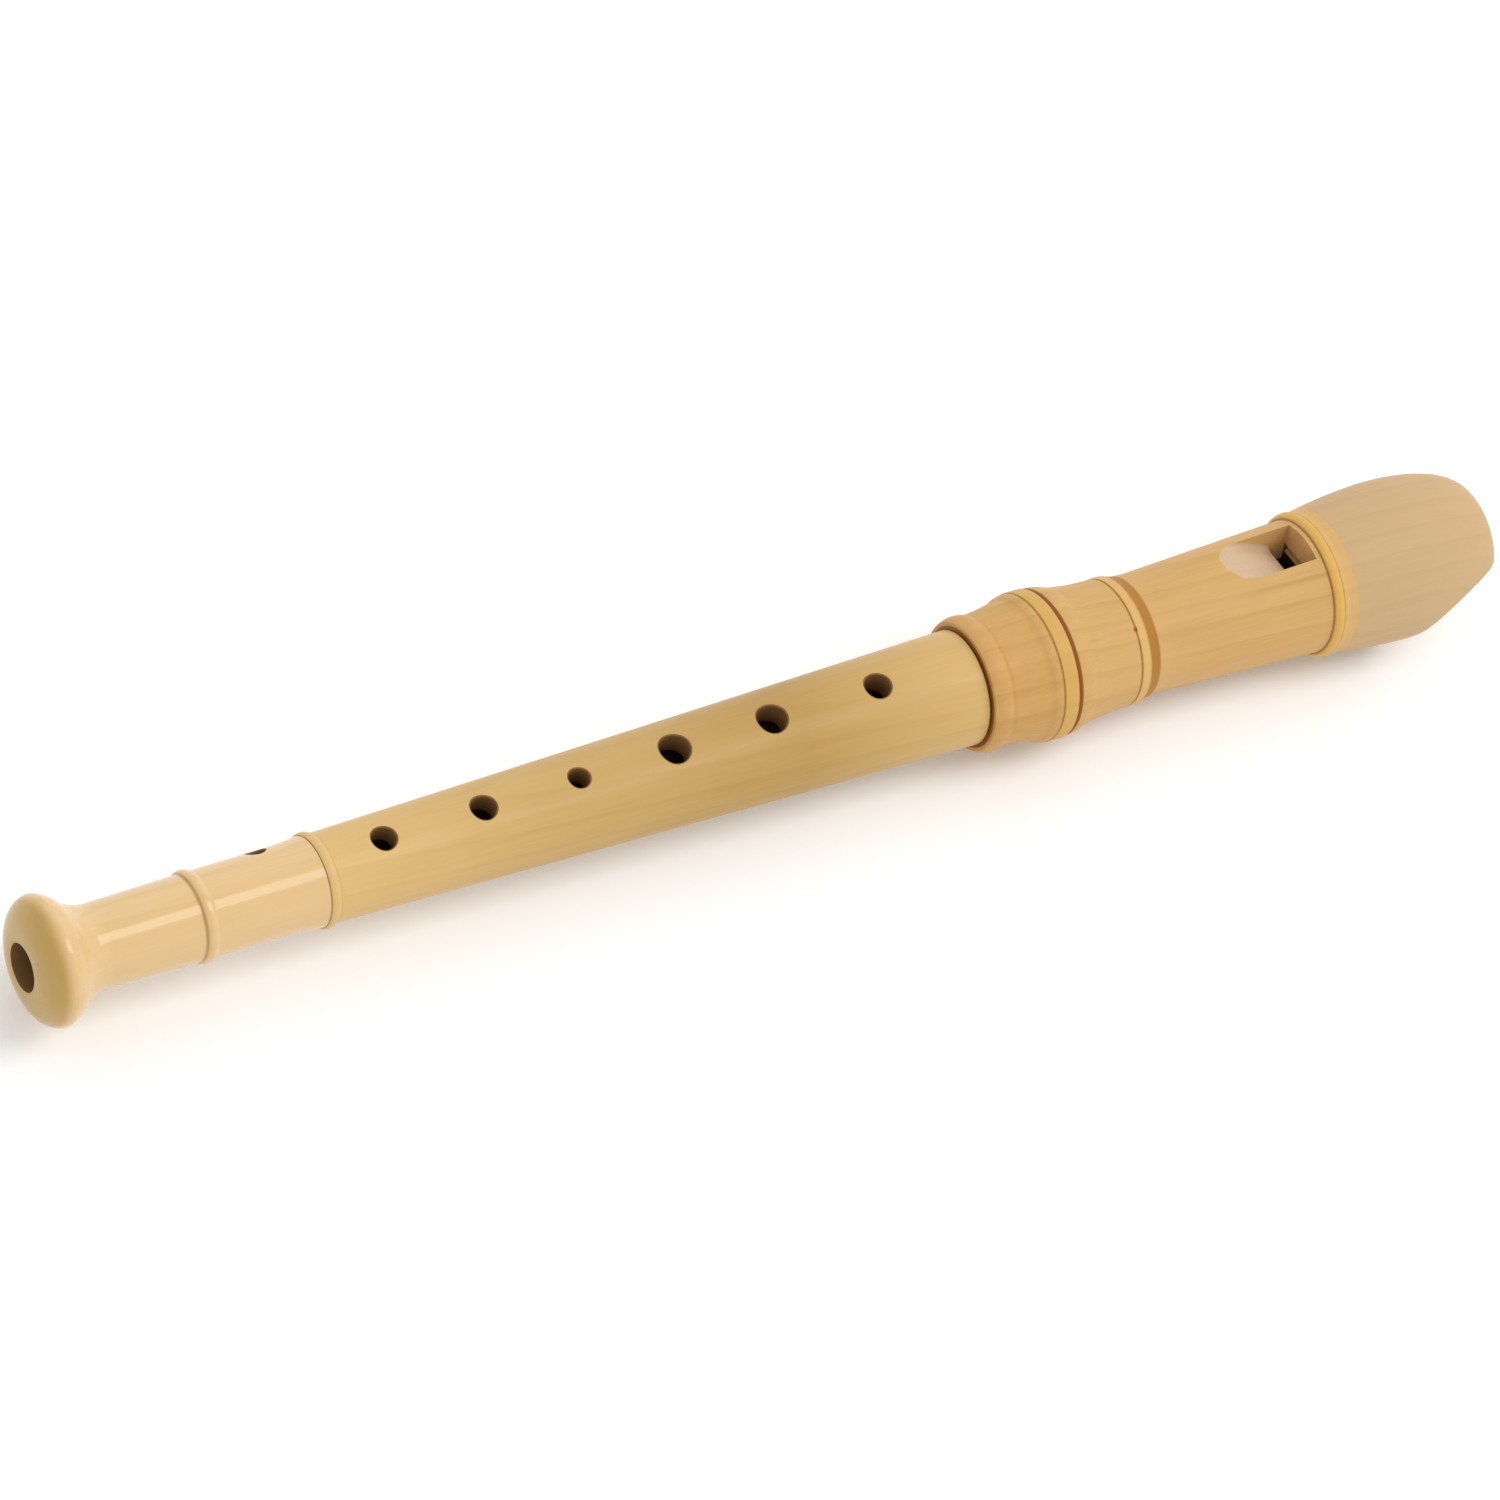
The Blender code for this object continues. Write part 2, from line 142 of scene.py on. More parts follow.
# Soft boxes: name, degrees round the side that reflects them, distance, length, width, radiance
SOFT_BOXES = (
    ("key_strip", 12.5, 1.6, 1.5, 0.62, 3.4),
    ("front_fill", -45, 1.8, 2.4, 1.4, 0.27),
    ("back_fill", 75, 1.8, 2.4, 1.4, 0.55),
)
SKY_STRENGTH = 0.86
FLOOR_SIZE = 6

# How much each part of the grain darkens the wood, how much warm and bare tones cover, and how
# far the grain stands out
RING_DEPTH = 0.34
LINE_DEPTH = 0.3
STREAK_DEPTH = 0.34
FIBRE_DEPTH = 0.22
WARM_SHARE = 0.6
BARE_SHARE = 0.55
RELIEF_STRENGTH = 0.25
RELIEF_HEIGHT = 0.04 * MM


# ---------------------------------------------------------------- outlines


def arc(start, end, rise, steps=14):
    """Points after start, up to end, along an arc that rises to the left of the chord."""
    chord = Vector(end) - Vector(start)
    half = chord.length / 2
    radius = (half * half + rise * rise) / (2 * abs(rise))
    side = Vector((-chord.y, chord.x)).normalized() * math.copysign(1, rise)
    centre = Vector(start) + chord / 2 + side * (abs(rise) - radius)
    first = Vector(start) - centre
    sweep = -math.copysign(2 * math.asin(min(1, half / radius)), rise)
    points = []
    for step in range(1, steps + 1):
        points.append(tuple(centre + Matrix.Rotation(sweep * step / steps, 2) @ first))
    return points


def rounded_end(start, end, fullness, steps=28):
    """Points after start, up to end, that leave start along the bore and reach end across it."""
    power = 2 / fullness
    points = []
    for step in range(1, steps + 1):
        angle = math.pi / 2 * step / steps
        along = math.sin(angle) ** power
        down = 1 - math.cos(angle) ** power
        points.append(
            (start[0] + (end[0] - start[0]) * along, start[1] + (end[1] - start[1]) * down)
        )
    return points


def ease_corners(points):
    """A closed outline with each sharp corner worn to a short curve."""
    eased = []
    neighbours = zip(points[-1:] + points[:-1], points, points[1:] + points[:1])
    for before, corner, after in neighbours:
        corner = Vector(corner)
        back = Vector(before) - corner
        ahead = Vector(after) - corner
        if back.angle(-ahead) < CORNER_ANGLE:
            eased.append(corner)
            continue
        start = corner + back.normalized() * min(EASE, 0.4 * back.length)
        end = corner + ahead.normalized() * min(EASE, 0.4 * ahead.length)
        for step in range(EASE_STEPS + 1):
            share = step / EASE_STEPS
            eased.append(
                start * (1 - share) ** 2 + corner * 2 * share * (1 - share) + end * share**2
            )
    return eased


def refine(points, spacing=SPACING):
    """The same closed outline with no step longer than spacing."""
    fine = []
    for point, following in zip(points, points[1:] + points[:1]):
        count = max(1, math.ceil((following - point).length / spacing))
        fine += [point.lerp(following, step / count) for step in range(count)]
    return fine


def foot_outline():
    face = (0, 5.7 * MM)
    bell = (5.2 * MM, BELL_RADIUS)
    bell_back = (8.8 * MM, 10.9 * MM)
    tube = (16 * MM, 8.3 * MM)
    bead_start = (34.5 * MM, FOOT_TUBE_RADIUS)
    bead_end = (37.3 * MM, FOOT_TUBE_RADIUS)
    flare = (SEAM_FOOT - 9 * MM, FOOT_TUBE_RADIUS)
    rim = (SEAM_FOOT, 9.1 * MM)
    socket_radius, socket_depth = FOOT_SOCKET
    outline = [(0, FOOT_BORE)]
    outline += reversed(rounded_end(bell, face, 2))
    outline += [bell]
    outline += arc(bell, bell_back, 0.3 * MM)
    outline += arc(bell_back, tube, -0.75 * MM)
    outline += [bead_start]
    outline += arc(bead_start, bead_end, 0.65 * MM)
    outline += [flare]
    outline += arc(flare, rim, -0.15 * MM)
    outline += [
        (SEAM_FOOT, socket_radius),
        (SEAM_FOOT - socket_depth, socket_radius),
        (SEAM_FOOT - socket_depth, FOOT_BORE),
    ]
    return outline


def tenon_outline(shoulder, end, radius, top):
    """The tenon's outside from its shoulder to its end, with the groove that seats the cork."""
    way = math.copysign(1, end - shoulder)
    groove = radius - CORK_THICKNESS
    return [
        (shoulder, top),
        (shoulder, radius),
        (shoulder + way * CORK_COLLAR, radius),
        (shoulder + way * CORK_COLLAR, groove),
        (end - way * CORK_COLLAR, groove),
        (end - way * CORK_COLLAR, radius),
        (end, radius),
    ]


def tenons():
    """(shoulder, end, radius) of the lower and of the upper tenon."""
    low_end = MIDDLE_LOW.x - FOOT_END
    high_end = MIDDLE_HIGH.x - FOOT_END
    low = (SEAM_FOOT + SHOULDER_GAP_FOOT, low_end, FOOT_SOCKET[0] - TENON_PLAY)
    high = (SEAM_HEAD - SHOULDER_GAP_HEAD, high_end, HEAD_SOCKET[0] - TENON_PLAY)
    return low, high


def middle_outline():
    (low_shoulder, low_end, low_radius), (high_shoulder, high_end, high_radius) = tenons()
    chamfer = 0.3 * MM
    bead_top = 9.3 * MM
    bead_end = (low_shoulder + MIDDLE_BEAD, MIDDLE_LOW_RADIUS)
    outline = [(low_end, MIDDLE_BORE_LOW)]
    outline += reversed(tenon_outline(low_shoulder, low_end, low_radius, bead_top))
    outline += arc(outline[-1], bead_end, 0.45 * MM)
    outline += [(high_shoulder - chamfer, MIDDLE_RADIUS)]
    outline += tenon_outline(high_shoulder, high_end, high_radius, MIDDLE_RADIUS - chamfer)
    outline += [(high_end, MIDDLE_BORE_HIGH)]
    return outline


def head_outline():
    groove = 0.2 * MM
    chamfer = 0.5 * MM
    socket_radius, socket_depth = HEAD_SOCKET
    rim = (SEAM_HEAD, 13.1 * MM)
    cove = (SEAM_HEAD + 4.6 * MM, 13.3 * MM)
    shoulder = (217.2 * MM, 14.2 * MM)
    bend = (218.6 * MM, 14.75 * MM)
    ring_start = 220.4 * MM
    ring_end = 223.6 * MM
    ring_foot = 15.1 * MM
    ring_radius = 15.25 * MM
    crease = (ring_end + 0.75 * MM, ring_radius - groove)
    waist = (228.4 * MM, 14.2 * MM)
    narrow_start = 239.6 * MM
    narrow_foot = 13.1 * MM
    narrow_top = (241.6 * MM, 13.15 * MM)
    slope_end = (244.7 * MM, 12.38 * MM)
    neck = (247.5 * MM, 12.25 * MM)
    window_bead = (284.2 * MM, 13.7 * MM)
    bead_end = (286.2 * MM, 14.9 * MM)
    beak_neck = (287.6 * MM, 14.65 * MM)
    beak = (304.5 * MM, BEAK_RADIUS)
    outline = [(SEAM_HEAD + chamfer, socket_radius), (SEAM_HEAD, socket_radius + chamfer), rim]
    outline += arc(rim, cove, 0.6 * MM)
    outline += arc(cove, shoulder, -0.1 * MM)
    outline += arc(shoulder, bend, -0.06 * MM)
    outline += arc(bend, (ring_start, ring_foot), 0.1 * MM)
    outline += [
        (ring_start + groove / 4, ring_foot - groove),
        (ring_start + groove, ring_radius),
        (ring_end, ring_radius),
        (ring_end + groove, ring_radius - 2 * groove),
        crease,
    ]
    outline += arc(crease, waist, 0.25 * MM)
    outline += arc(waist, (narrow_start - groove, narrow_foot), -0.3 * MM)
    outline += [
        (narrow_start, narrow_foot - groove),
        (narrow_start + groove, narrow_top[1]),
        narrow_top,
    ]
    outline += arc(narrow_top, slope_end, -0.1 * MM)
    outline += [neck, window_bead]
    outline += arc(window_bead, bead_end, 0.4 * MM)
    outline += arc(bead_end, beak_neck, -0.05 * MM)
    outline += arc(beak_neck, beak, 0.3 * MM)
    outline += rounded_end(beak, (TIP, 9.5 * MM), 2.1)
    outline += [
        (TIP, HEAD_BORE),
        (SEAM_HEAD + socket_depth, HEAD_BORE),
        (SEAM_HEAD + socket_depth, socket_radius),
    ]
    return outline


# ---------------------------------------------------------------- meshes


def place(station, across, height, roll=0.0):
    """A point in the frame, from a station and its distances across and above the bore's axis."""
    turn = Matrix.Rotation(-roll, 3, "X")
    point = turn @ Vector((0, across, height))
    return Vector((FOOT_END + station, point.y, AXIS_HEIGHT + point.z))


def make_object(name, shape, *materials):
    bmesh.ops.recalc_face_normals(shape, faces=shape.faces)
    mesh = bpy.data.meshes.new(name)
    shape.to_mesh(mesh)
    shape.free()
    for material in materials:
        mesh.materials.append(material)
    obj = bpy.data.objects.new(name, mesh)
    bpy.context.scene.collection.objects.link(obj)
    return obj


def add_rings(shape, rings, closed=False):
    """Skins rings of points, each with as many as the next, and caps the ends unless closed."""
    made = [[shape.verts.new(point) for point in ring] for ring in rings]
    pairs = list(zip(made, made[1:] + made[:1] if closed else made[1:]))
    for ring, following in pairs:
        for index in range(len(ring)):
            after = (index + 1) % len(ring)
            shape.faces.new((ring[index], ring[after], following[after], following[index]))
    if not closed:
        shape.faces.new(made[0])
        shape.faces.new(made[-1])
    return shape


def turned(name, outline, material):
    """A ring-shaped piece, from a closed outline of (station, radius) turned about the bore."""
    angles = [2 * math.pi * step / AROUND for step in range(AROUND)]
    rings = []
    for station, radius in refine(ease_corners(outline)):
        rings.append(
            [place(station, radius * math.sin(a), radius * math.cos(a)) for a in angles]
        )
    return make_object(name, add_rings(bmesh.new(), rings, closed=True), material)


def prism(name, outline, width, roll, material):
    """A cutter across the instrument, from an outline of (station, height)."""
    sides = [
        [place(station, side * width / 2, height, roll) for station, height in outline]
        for side in (-1, 1)
    ]
    return make_object(name, add_rings(bmesh.new(), sides), material)


def line_bore(piece, inner):
    """Gives the faces that look towards the bore's axis their own material, a dark one that paints
    in the shade inside the bore.
    """
    piece.data.materials.append(inner)
    for face in piece.data.polygons:
        outward = Vector((0, face.center.y, face.center.z - AXIS_HEIGHT)).normalized()
        if face.normal.dot(outward) < -0.5:
            face.material_index = 1


def hole_cutter(name, station, diameter, roll, surface, material):
    """A drill whose mouth flares, so that it wears the hole's edge along the turned surface."""
    hole = diameter / 2
    radii_and_drops = [(hole, None), (hole, HOLE_EASE)]
    for step in range(1, HOLE_EASE_STEPS + 1):
        angle = HOLE_EASE_END * step / HOLE_EASE_STEPS
        radii_and_drops.append(
            (hole + HOLE_EASE * (1 - math.cos(angle)), HOLE_EASE * (1 - math.sin(angle)))
        )
    edge_radius, edge_drop = radii_and_drops[-1]
    along_surface = HOLE_RUN * math.sin(HOLE_EASE_END)
    above_surface = HOLE_RUN * math.cos(HOLE_EASE_END)
    radii_and_drops.append((edge_radius + along_surface, edge_drop - above_surface))
    radii_and_drops.append((edge_radius + HOLE_RUN, -OVERSHOOT))
    rings = []
    for radius, drop in radii_and_drops:
        ring = []
        for step in range(HOLE_AROUND):
            angle = 2 * math.pi * step / HOLE_AROUND
            along = radius * math.cos(angle)
            across = radius * math.sin(angle)
            height = 0
            if drop is not None:
                outside = surface(station + along)
                height = math.sqrt(outside**2 - across**2) - drop
            ring.append(place(station + along, across, height, roll))
        rings.append(ring)
    return make_object(name, add_rings(bmesh.new(), rings), material)


def carve(obj, cutters):
    """Cuts the cutters out of obj, whose cut faces take the cutters' materials."""
    group = bpy.data.collections.new(obj.name + "_cutters")
    for cutter in cutters:
        group.objects.link(cutter)
    modifier = obj.modifiers.new("cut", "BOOLEAN")
    modifier.operation = "DIFFERENCE"
    modifier.operand_type = "COLLECTION"
    modifier.collection = group
    modifier.solver = "EXACT"
    modifier.material_mode = "TRANSFER"
    bpy.context.view_layer.update()
    evaluated = obj.evaluated_get(bpy.context.evaluated_depsgraph_get())
    mesh = bpy.data.meshes.new_from_object(evaluated)
    obj.modifiers.clear()
    obj.data = mesh
    for cutter in cutters:
        bpy.data.objects.remove(cutter)
    bpy.data.collections.remove(group)


def smooth(obj):
    obj.data.shade_smooth()
    obj.data.set_sharp_from_angle(angle=SHARP_ANGLE)


def beak_cutter(material):
    """The round cutter that hollows the beak's underside."""
    steps = 180
    outline = []
    for step in range(steps):
        angle = 2 * math.pi * step / steps
        station = BEAK_CUT_STATION + BEAK_CUT_RADIUS * math.cos(angle)
        outline.append((station, BEAK_CUT_HEIGHT + BEAK_CUT_RADIUS * math.sin(angle)))
    return prism("beak_cutter", outline, 3 * BEAK_RADIUS, HEAD_ROLL, material)


def roof_height(station):
    share = (station - WINDOW_END) / (TIP - WINDOW_END)
    return ROOF_HEIGHTS[0] + (ROOF_HEIGHTS[1] - ROOF_HEIGHTS[0]) * share


def round_ramp(cutter):
    """Rounds the two long edges of the window cutter's ramp, so the ramp is slightly dished."""
    shape = bmesh.new()
    shape.from_mesh(cutter.data)
    edges = []
    for edge in shape.edges:
        beside_ramp = sorted(face.material_index for face in edge.link_faces) == [0, 1]
        lengthwise = abs((edge.verts[0].co - edge.verts[1].co).normalized().x) > 0.5
        if beside_ramp and lengthwise:
            edges.append(edge)
    bmesh.ops.bevel(
        shape, geom=edges, offset=RAMP_ROUNDING, offset_type="OFFSET", segments=6, profile=0.5,
        affect="EDGES", material=1,
    )
    shape.to_mesh(cutter.data)
    shape.free()


def window_cutters(raw, wall, inner):
    """The window with its ramp, the hollow under the labium, and the windway."""
    outside = BEAK_RADIUS + OVERSHOOT
    lip = LABIUM_HEIGHT - LABIUM_THICKNESS
    start = WINDOW_END - BLOCK_PLAY
    past_tip = TIP + OVERSHOOT
    ramp_top = (LABIUM - RAMP_LENGTH, RAMP_TOP)
    window = [
        (LABIUM, WINDOW_FLOOR),
        (WINDOW_END, WINDOW_FLOOR),
        (WINDOW_END, outside),
        (LABIUM - 2 * RAMP_LENGTH, outside),
    ]
    ramp_face = len(window) - 1
    window += [ramp_top] + arc(ramp_top, (LABIUM, LABIUM_HEIGHT), RAMP_RISE)
    undercut = [
        (LABIUM + BLOCK_PLAY, 0),
        (LABIUM + BLOCK_PLAY, lip),
        (LABIUM, lip),
        (LABIUM - lip / math.tan(UNDERCUT_SLOPE), 0),
    ]
    windway = [
        (start, 0),
        (past_tip, 0),
        (past_tip, roof_height(past_tip)),
        (start, roof_height(start)),
    ]
    cutter = prism("window_cutter", window, WINDWAY_WIDTH, HEAD_ROLL, wall)
    cutter.data.materials.append(raw)
    for face in cutter.data.polygons[ramp_face:len(window) - 1]:
        face.material_index = 1
    round_ramp(cutter)
    return [
        cutter,
        prism("undercut_cutter", undercut, WINDWAY_WIDTH, HEAD_ROLL, inner),
        prism("windway_cutter", windway, WINDWAY_WIDTH, HEAD_ROLL, inner),
    ]


def make_foot(wood, inner):
    foot = turned("foot_wood", foot_outline(), wood)
    line_bore(foot, inner)
    hole = hole_cutter("hole", *FOOT_HOLE, FOOT_ROLL, lambda station: FOOT_TUBE_RADIUS, inner)
    carve(foot, [hole])
    return foot


def make_middle(wood, inner):
    middle = turned("middle_wood", middle_outline(), wood)
    line_bore(middle, inner)
    start = SEAM_FOOT + SHOULDER_GAP_FOOT + MIDDLE_BEAD
    end = SEAM_HEAD - SHOULDER_GAP_HEAD

    def surface(station):
        share = (station - start) / (end - start)
        return MIDDLE_LOW_RADIUS + (MIDDLE_RADIUS - MIDDLE_LOW_RADIUS) * share

    cutters = [
        hole_cutter("hole", station, diameter, 0, surface, inner)
        for station, diameter in FINGER_HOLES
    ]
    cutters.append(hole_cutter("hole", *THUMB_HOLE, math.pi, surface, inner))
    carve(middle, cutters)
    return middle


def make_head(wood, raw, wall, inner):
    head = turned("head_wood", head_outline(), wood)
    line_bore(head, inner)
    carve(head, window_cutters(raw, wall, inner) + [beak_cutter(wood)])
    return head


def make_block(cedar):
    """The plug: a cylinder with a raised table, whose flat top is the windway's floor."""
    radius = HEAD_BORE - BLOCK_PLAY
    half_table = WINDWAY_WIDTH / 2 - BLOCK_PLAY
    floor_window = roof_height(WINDOW_END) - WINDWAY_DEPTHS[0]
    floor_tip = roof_height(TIP) - WINDWAY_DEPTHS[1]
    corner = math.asin(half_table / radius)
    steps = 120
    angles = [corner + (2 * math.pi - 2 * corner) * step / steps for step in range(steps + 1)]
    rings = []
    for station, table in (
        (WINDOW_END, floor_window - BLOCK_CHAMFER),
        (WINDOW_END + BLOCK_CHAMFER, floor_window),
        (TIP, floor_tip),
    ):
        ring = [place(station, side * half_table, table, HEAD_ROLL) for side in (-1, 1)]
        for angle in angles:
            ring.append(
                place(station, radius * math.sin(angle), radius * math.cos(angle), HEAD_ROLL)
            )
        rings.append(ring)
    block = make_object("block_cedar", add_rings(bmesh.new(), rings), cedar)
    carve(block, [beak_cutter(cedar)])
    return block


def make_cork(name, node, tenon, material):
    """A cork sleeve in the space that its CAD node holds."""
    low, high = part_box(node)
    start = low.x - FOOT_END
    end = high.x - FOOT_END
    outer = (high.z - low.z) / 2
    inner = tenon[2] - CORK_THICKNESS + 0.2 * MM
    outline = [(start, inner), (start, outer), (end, outer), (end, inner)]
    return turned(name, outline, material)


# ---------------------------------------------------------------- materials


class Pattern:
    """A material's node tree, with a short way to add each node."""

    def __init__(self, name):
        self.material = bpy.data.materials.new(name)
        self.material.use_nodes = True
        self.tree = self.material.node_tree
        self.shader = self.tree.nodes["Principled BSDF"]
        self.place = self.add("ShaderNodeTexCoord").outputs["Object"]

    def add(self, kind, inputs=None, **settings):
        node = self.tree.nodes.new(kind)
        for name, value in settings.items():
            setattr(node, name, value)
        for name, value in (inputs or {}).items():
            self.put(node.inputs[name], value)
        return node

    def put(self, socket, value):
        if isinstance(value, bpy.types.NodeSocket):
            self.tree.links.new(value, socket)
        else:
            socket.default_value = value

    def math(self, operation, first, second=0.0, clamp=False):
        node = self.add(
            "ShaderNodeMath", {0: first, 1: second}, operation=operation, use_clamp=clamp
        )
        return node.outputs[0]

    def stretched(self, along, across):
        """The place scaled along and across the grain."""
        node = self.add(
            "ShaderNodeVectorMath",
            {0: self.place, 1: (along, across, across)},
            operation="MULTIPLY",
        )
        return node.outputs[0]

    def noise(self, along, across, detail=3.0, roughness=0.55):
        """Noise with this many features a metre along and across the grain."""
        node = self.add(
            "ShaderNodeTexNoise",
            {
                "Vector": self.stretched(along, across),
                "Scale": 1.0,
                "Detail": detail,
                "Roughness": roughness,
            },
        )
        return node.outputs["Fac"]

    def steps(self, value, *stops):
        """value sent through a ramp of (position, grey)."""
        ramp = self.add("ShaderNodeValToRGB", {"Fac": value})
        elements = ramp.color_ramp.elements
        while len(elements) < len(stops):
            elements.new(0.5)
        for element, (position, grey) in zip(elements, stops):
            element.position = position
            element.color = (grey, grey, grey, 1)
        return ramp.outputs["Color"]

    def mix(self, share, first, second, blend="MIX"):
        colours = [(*c, 1) if isinstance(c, tuple) else c for c in (first, second)]
        node = self.add(
            "ShaderNodeMix",
            {0: share, 6: colours[0], 7: colours[1]},
            data_type="RGBA",
            blend_type=blend,
        )
        return node.outputs[2]

    def station(self):
        """The distance from the foot's open end."""
        x = self.add("ShaderNodeSeparateXYZ", {0: self.place}).outputs[0]
        return self.math("SUBTRACT", x, FOOT_END)

    def from_axis(self):
        """The distance from the bore's axis."""
        node = self.add(
            "ShaderNodeVectorMath",
            {0: self.place, 1: (0, 0, AXIS_HEIGHT)},
            operation="SUBTRACT",
        )
        flat = self.add(
            "ShaderNodeVectorMath", {0: node.outputs[0], 1: (0, 1, 1)}, operation="MULTIPLY"
        )
        length = self.add("ShaderNodeVectorMath", {0: flat.outputs[0]}, operation="LENGTH")
        return length.outputs["Value"]

    def between(self, value, low, high, soft):
        """1 from low to high, and 0 beyond, with an edge this soft."""
        rise = self.add(
            "ShaderNodeMapRange",
            {"Value": value, "From Min": low - soft, "From Max": low + soft},
            interpolation_type="SMOOTHSTEP",
        )
        fall = self.add(
            "ShaderNodeMapRange",
            {"Value": value, "From Min": high + soft, "From Max": high - soft},
            interpolation_type="SMOOTHSTEP",
        )
        return self.math("MULTIPLY", rise.outputs[0], fall.outputs[0])

    def rings(self, direction, lean, period, wander):
        """Growth rings: 0 to 1 across each year's wood, crossing the piece lengthwise."""
        across = self.add(
            "ShaderNodeVectorMath",
            {0: self.place, 1: (lean, math.sin(direction), math.cos(direction))},
            operation="DOT_PRODUCT",
        ).outputs["Value"]
        drift = self.math("MULTIPLY", self.noise(7, 45, 2.0), wander)
        total = self.math("DIVIDE", self.math("ADD", across, drift), period)
        return self.math("FRACT", total)


# Bands of colour between two stations, no further than within from the bore's axis: some are the
# wood's own tints, most are painted shade in creases, grooves, gaps and shaded faces
StainAndShade = namedtuple("StainAndShade", "low high soft strength colour within", defaults=(1.0,))
# Painted shade colours for creases, grooves and gaps; the brown also colours real nicks
SHADE_AND_MARK_BROWN = (0.24, 0.08, 0.008)
SHADE_OCHRE = (0.36, 0.16, 0.025)


def wood_colour(pattern, light, dark, direction, figure):
    """Maple: growth rings, streaks and fibres along the bore, as strong as figure."""
    rings = pattern.rings(direction, 0.055, 4.6 * MM, 3.2 * MM)
    ring_line = pattern.steps(rings, (0.0, 0.0), (0.6, 0.2), (0.94, 1.0), (1.0, 0.0))
    streaks = pattern.steps(pattern.noise(11, 210, 4.0), (0.3, 0.0), (0.72, 1.0))
    fibres = pattern.steps(pattern.noise(60, 1900, 3.0), (0.35, 0.0), (0.7, 1.0))
    lines = pattern.steps(pattern.noise(6, 260, 2.0), (0.60, 0.0), (0.70, 1.0))
    depth = pattern.math("MULTIPLY", ring_line, RING_DEPTH * figure)
    depth = pattern.math("ADD", depth, pattern.math("MULTIPLY", lines, LINE_DEPTH * figure))
    depth = pattern.math("ADD", depth, pattern.math("MULTIPLY", streaks, STREAK_DEPTH * figure))
    depth = pattern.math("ADD", depth, pattern.math("MULTIPLY", fibres, FIBRE_DEPTH), clamp=True)
    return pattern.mix(depth, light, dark), ring_line, fibres


def wood_material(name, light, dark, warm, direction, roughness, coat, coat_roughness,
                  specular=0.2, figure=1.0, stains_and_shade=(), tones_and_sheen=None, deep=(1, 1, 1), bare=None,
                  spots=()):
    """Varnished maple, with tinted bands and painted shade in creases, gaps and shaded faces, with
    deeper tones along it that on the middle joint also paint in its fading sheen, and bare past a
    station.
    """
    pattern = Pattern(name)
    colour, ring_line, fibres = wood_colour(pattern, light, dark, direction, figure)
    cloud = pattern.steps(pattern.noise(22, 70, 2.0), (0.35, 0.0), (0.68, 1.0))
    colour = pattern.mix(pattern.math("MULTIPLY", cloud, WARM_SHARE), colour, warm)
    station = pattern.station()
    # Deeper tones by station; on the middle joint the lighter foot end is painted sheen
    if tones_and_sheen:
        along = pattern.math("DIVIDE", station, TIP)
        share = pattern.steps(along, *[(stop / TIP, depth) for stop, depth in tones_and_sheen])
        colour = pattern.mix(share, colour, deep, "MULTIPLY")
    if bare:
        bare_from, bare_colour = bare
        bare_share = pattern.between(station, bare_from, 1.0, 0.2 * MM)
        colour = pattern.mix(bare_share, colour, pattern.mix(BARE_SHARE, colour, bare_colour))
    # Tinted bands, and painted shade where a band darkens a crease, groove, gap or shaded face
    for stain_and_shade in stains_and_shade:
        mask = pattern.between(station, stain_and_shade.low, stain_and_shade.high, stain_and_shade.soft)
        if stain_and_shade.within < 1:
            inside = pattern.between(pattern.from_axis(), -1.0, stain_and_shade.within, 0.1 * MM)
            mask = pattern.math("MULTIPLY", mask, inside)
        broken = pattern.math("ADD", pattern.math("MULTIPLY", pattern.noise(40, 130), 0.7), 0.55)
        mask = pattern.math("MULTIPLY", mask, broken, clamp=True)
        mask = pattern.math("MULTIPLY", mask, stain_and_shade.strength)
        colour = pattern.mix(mask, colour, stain_and_shade.colour)
    for point, size, strength in spots:
        away = pattern.add(
            "ShaderNodeVectorMath", {0: pattern.place, 1: point}, operation="DISTANCE"
        )
        mask = pattern.between(away.outputs["Value"], -1.0, 0.6 * size, 0.4 * size)
        colour = pattern.mix(pattern.math("MULTIPLY", mask, strength), colour, SHADE_AND_MARK_BROWN)
    pattern.put(pattern.shader.inputs["Base Color"], colour)
    worn = pattern.math("MULTIPLY", fibres, 0.12)
    pattern.put(pattern.shader.inputs["Roughness"], pattern.math("ADD", worn, roughness))
    if bare:
        weight = pattern.math("MULTIPLY", pattern.math("SUBTRACT", 1.0, bare_share), coat)
        pattern.put(pattern.shader.inputs["Coat Weight"], weight)
    else:
        pattern.put(pattern.shader.inputs["Coat Weight"], coat)
    pattern.put(pattern.shader.inputs["Coat Roughness"], coat_roughness)
    pattern.put(pattern.shader.inputs["Specular IOR Level"], specular)
    relief = pattern.math("ADD", pattern.math("MULTIPLY", ring_line, 0.4), fibres)
    bump = pattern.add(
        "ShaderNodeBump",
        {"Height": relief, "Strength": RELIEF_STRENGTH, "Distance": RELIEF_HEIGHT},
    )
    pattern.put(pattern.shader.inputs["Normal"], bump.outputs[0])
    return pattern.material


def cork_material():
    pattern = Pattern("cork")
    cells = pattern.add(
        "ShaderNodeTexVoronoi", {"Vector": pattern.place, "Scale": 1500.0}
    ).outputs["Distance"]
    specks = pattern.steps(pattern.noise(700, 700, 4.0), (0.42, 0.0), (0.62, 1.0))
    colour = pattern.mix(specks, (0.50, 0.30, 0.15), (0.26, 0.13, 0.055))
    pattern.put(pattern.shader.inputs["Base Color"], colour)
    pattern.put(pattern.shader.inputs["Roughness"], 0.85)
    bump = pattern.add(
        "ShaderNodeBump", {"Height": cells, "Strength": 0.5, "Distance": 0.1 * MM}
    )
    pattern.put(pattern.shader.inputs["Normal"], bump.outputs[0])
    return pattern.material


# ---------------------------------------------------------------- stage


